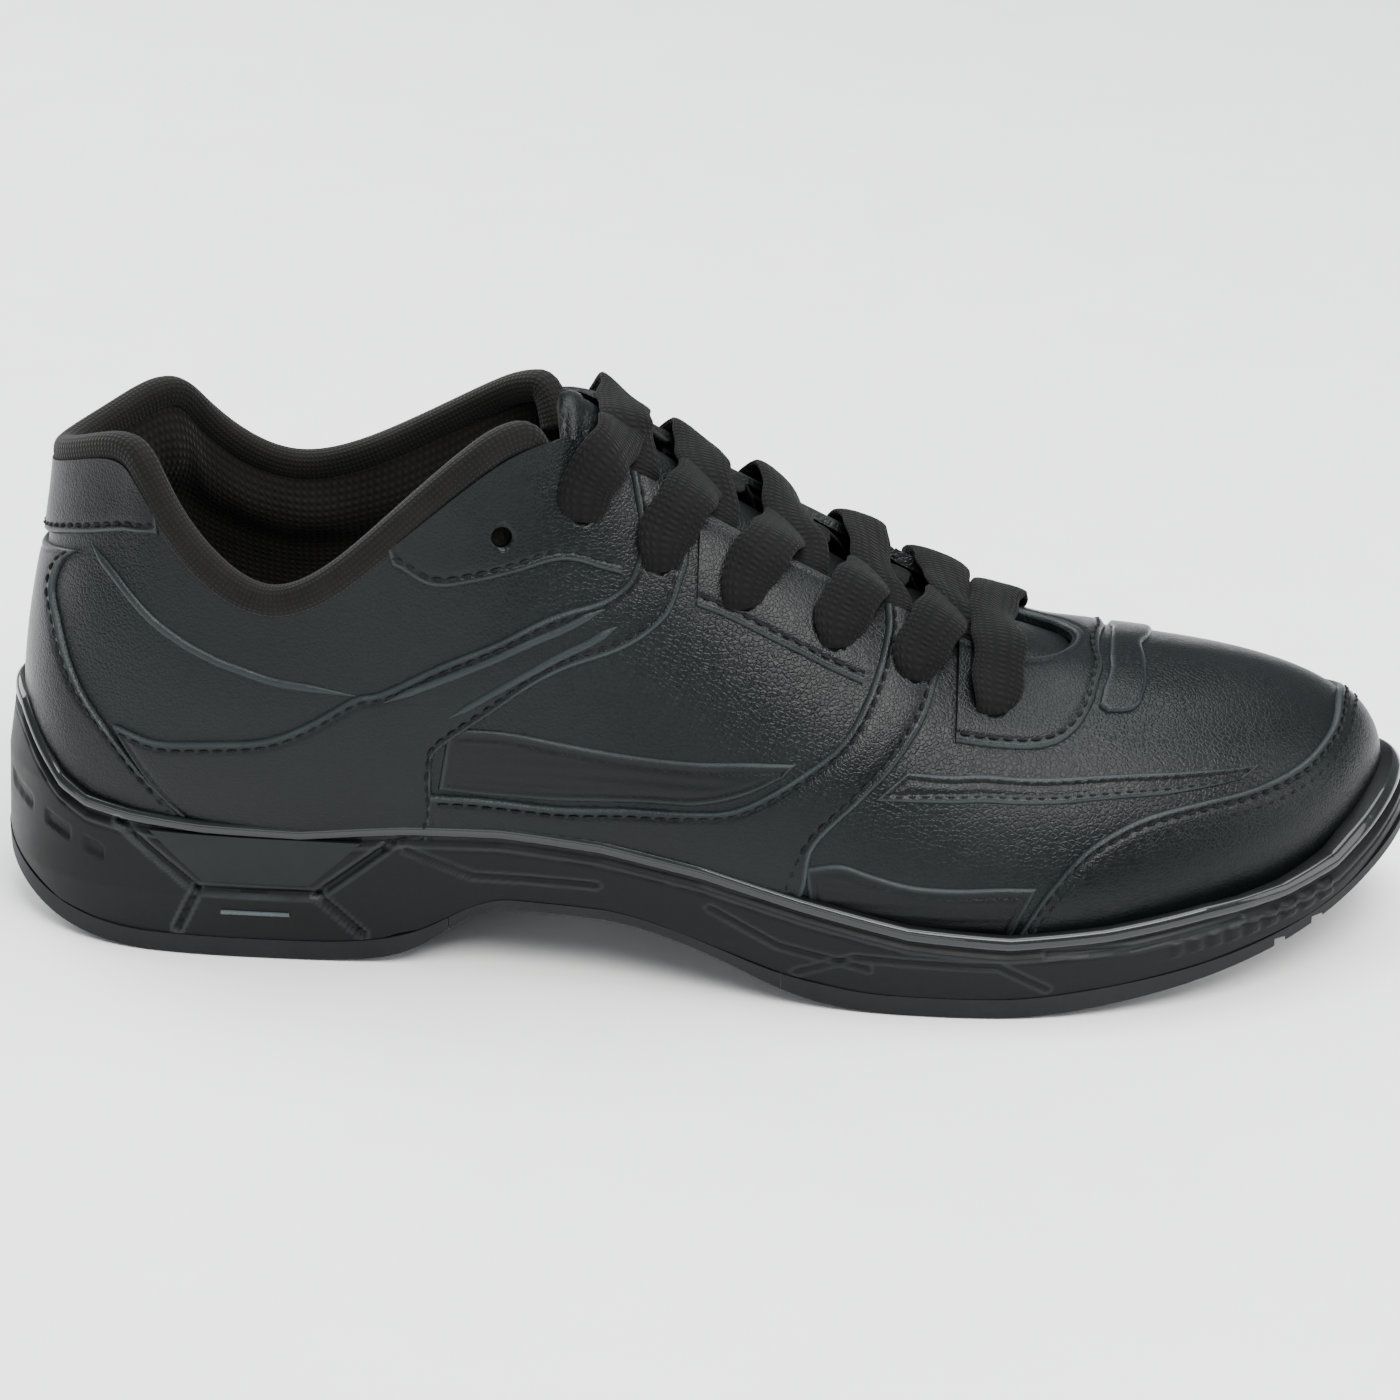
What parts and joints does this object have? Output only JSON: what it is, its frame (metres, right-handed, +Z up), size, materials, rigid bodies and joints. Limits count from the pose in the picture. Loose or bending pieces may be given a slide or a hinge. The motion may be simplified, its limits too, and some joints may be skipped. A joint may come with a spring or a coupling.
{
  "type": "bowling shoe",
  "caption": "Low-cut lace-up leather bowling shoe with layered side stripes, toe cap, padded collar and tongue, cup sole and separate heel and slide pads.",
  "frame": {"origin": "on the floor under the middle of the shoe's length and width", "axes": "+X from heel to toe, +Y to the medial (inner) side of this right shoe, +Z up from the floor"},
  "size_m": [0.3002, 0.1095, 0.1176],
  "materials": {
    "upper_leather": "fine grained full-grain leather, soft sheen",
    "overlay_leather": "coated leather, slight blue-grey sheen",
    "ribbed_panel": "embossed ribbed synthetic leather",
    "padding_foam": "open-cell foam",
    "lining_fabric": "brown-black textile lining",
    "binding_fabric": "brown-black woven binding",
    "stiffener": "pressed stiffener sheet",
    "tongue_leather": "soft grained leather",
    "webbing": "woven webbing",
    "lace_fabric": "flat woven polyester lace",
    "lace_tip_plastic": "clear-coated plastic film",
    "sole_wall_rubber": "moulded rubber, satin with a glossy bead",
    "heel_insert_plastic": "light moulded insert, glossy",
    "tread_rubber": "moulded rubber, matt",
    "shank_plastic": "moulded shank plate, satin",
    "heel_pad_rubber": "ribbed rubber pad",
    "slide_pad_fabric": "dense felted slide pad",
    "steel": "cold rolled strip",
    "board": "pressed fibre insole board",
    "insole_foam": "moulded foam",
    "insole_fabric": "knitted top cloth"
  },
  "bodies": {
    "shoe": {"ankle_panel_lateral": "overlay_leather", "ankle_panel_medial": "overlay_leather", "collar_binding": "binding_fabric", "collar_padding_lateral": "padding_foam", "collar_padding_medial": "padding_foam", "forefoot_panel_lateral": "overlay_leather", "forefoot_panel_medial": "overlay_leather", "front_facing": "overlay_leather", "front_stripe_lateral": "overlay_leather", "front_stripe_medial": "overlay_leather", "heel_counter": "stiffener", "heel_insert_lateral": "heel_insert_plastic", "heel_insert_medial": "heel_insert_plastic", "heel_overlay": "overlay_leather", "heel_pad": "heel_pad_rubber", "heel_tab": "overlay_leather", "insole_board": "board", "insole_cover": "insole_fabric", "insole_foam": "insole_foam", "lace": "lace_fabric", "lace_tips": "lace_tip_plastic", "middle_facing_lateral": "overlay_leather", "middle_facing_medial": "overlay_leather", "midsole": "sole_wall_rubber", "outsole_forefoot": "tread_rubber", "outsole_heel": "tread_rubber", "quarter_lateral": "upper_leather", "quarter_lining_lateral": "lining_fabric", "quarter_lining_medial": "lining_fabric", "quarter_medial": "upper_leather", "rear_stripe_lateral": "overlay_leather", "rear_stripe_medial": "overlay_leather", "shank_plate": "shank_plastic", "slide_pad": "slide_pad_fabric", "steel_shank": "steel", "throat_tab": "overlay_leather", "toe_cap": "overlay_leather", "toe_puff": "stiffener", "vamp": "upper_leather", "vamp_lining": "lining_fabric", "vamp_strip_lateral": "overlay_leather", "vamp_strip_medial": "overlay_leather", "vent_panel_lateral": "ribbed_panel", "vent_panel_medial": "ribbed_panel"},
    "tongue": {"tongue_shell": "tongue_leather", "tongue_foam": "padding_foam", "tongue_lining": "lining_fabric", "tongue_loop": "webbing"}
  },
  "joints": [
    {"name": "tongue_hinge", "type": "hinge", "parent": "shoe", "child": "tongue", "pos_m": [0.086, 0, 0.055], "axis": [0, -1, 0], "range_deg": [0, 8], "stiffness_Nm_per_rad": 0.5}
  ]
}
